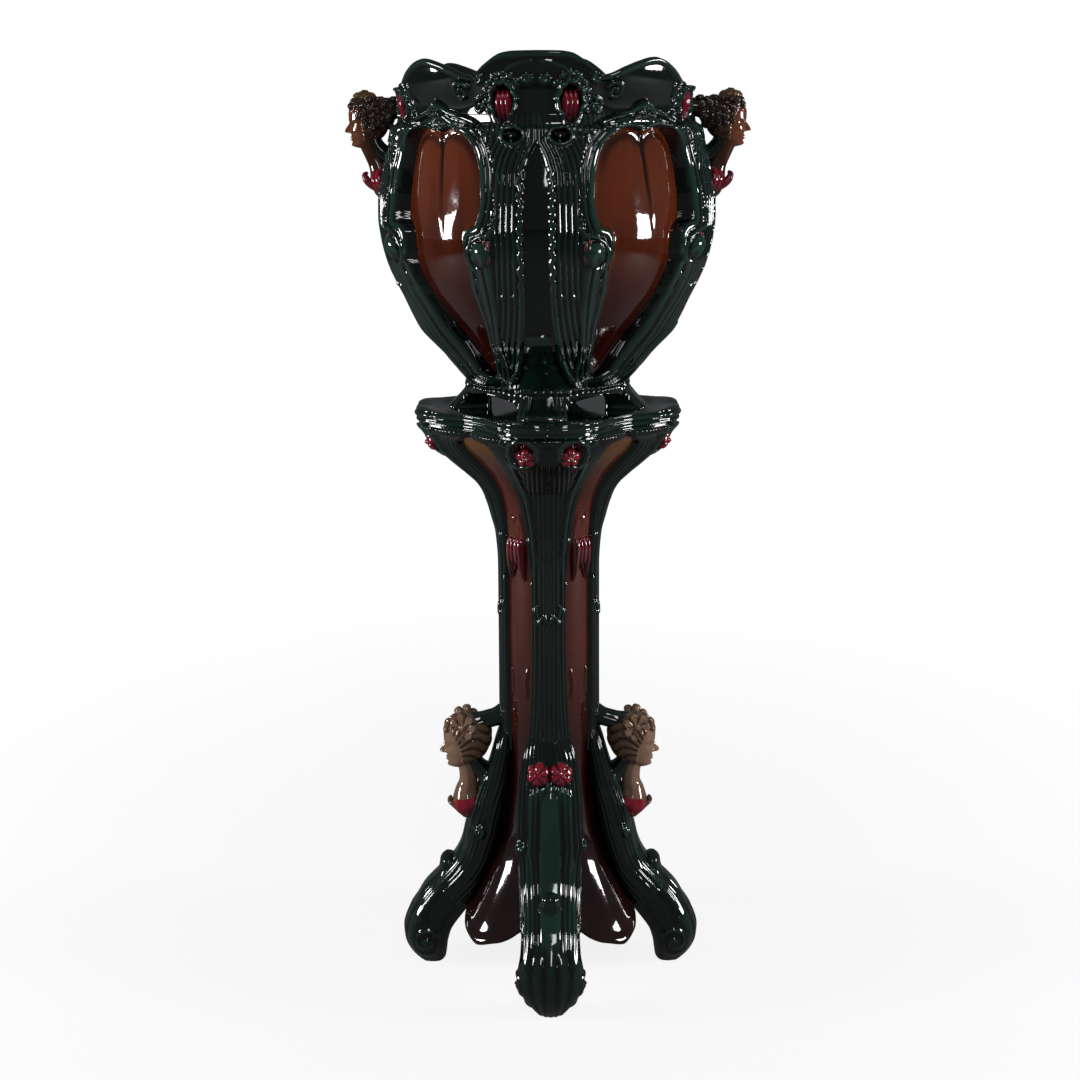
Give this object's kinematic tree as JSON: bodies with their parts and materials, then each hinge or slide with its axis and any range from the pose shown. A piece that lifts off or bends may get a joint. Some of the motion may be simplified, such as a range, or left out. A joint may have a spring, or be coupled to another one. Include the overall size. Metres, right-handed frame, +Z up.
{
  "type": "jardiniere on stand",
  "caption": "Lobed glazed ceramic plant bowl with two bust handles, standing loose on a hollow ribbed pedestal with scrolled legs.",
  "frame": {"origin": "on the floor, in the middle of the stand's four feet", "axes": "+Z up, -Y towards the front leg with its pair of rosettes, +X towards the right-hand busts"},
  "size_m": [0.4562, 0.3884, 1.0795],
  "materials": {
    "brown_glaze": "high gloss majolica glaze",
    "green_glaze": "high gloss majolica glaze",
    "bronze_glaze": "high gloss majolica glaze",
    "tan_glaze": "high gloss majolica glaze",
    "crimson_glaze": "high gloss majolica glaze",
    "pink_glaze": "high gloss majolica glaze"
  },
  "bodies": {
    "stand": {"stand_shell": "brown_glaze", "stand_top": "green_glaze", "stand_rib_front": "green_glaze", "stand_rib_right": "green_glaze", "stand_rib_back": "green_glaze", "stand_rib_left": "green_glaze", "stand_leg_front": "green_glaze", "stand_leg_right": "green_glaze", "stand_leg_back": "green_glaze", "stand_leg_left": "green_glaze", "stand_bust_right": "tan_glaze", "stand_bust_left": "tan_glaze", "stand_rosettes": "crimson_glaze", "stand_blossoms": "crimson_glaze", "stand_buds": "pink_glaze"},
    "jardiniere": {"bowl_shell": "brown_glaze", "bowl_rim": "green_glaze", "bowl_rib_front": "green_glaze", "bowl_rib_right": "green_glaze", "bowl_rib_back": "green_glaze", "bowl_rib_left": "green_glaze", "bowl_foot_front": "green_glaze", "bowl_foot_right": "green_glaze", "bowl_foot_back": "green_glaze", "bowl_foot_left": "green_glaze", "bowl_bust_right": "bronze_glaze", "bowl_bust_left": "bronze_glaze", "bowl_petals": "crimson_glaze", "bowl_side_petals": "crimson_glaze", "bowl_buds": "pink_glaze"}
  },
  "joints": [
    {"name": "jardiniere_lift", "type": "slide", "parent": "stand", "child": "jardiniere", "axis": [0, 0, 1], "range_m": [0, 0.25]}
  ]
}
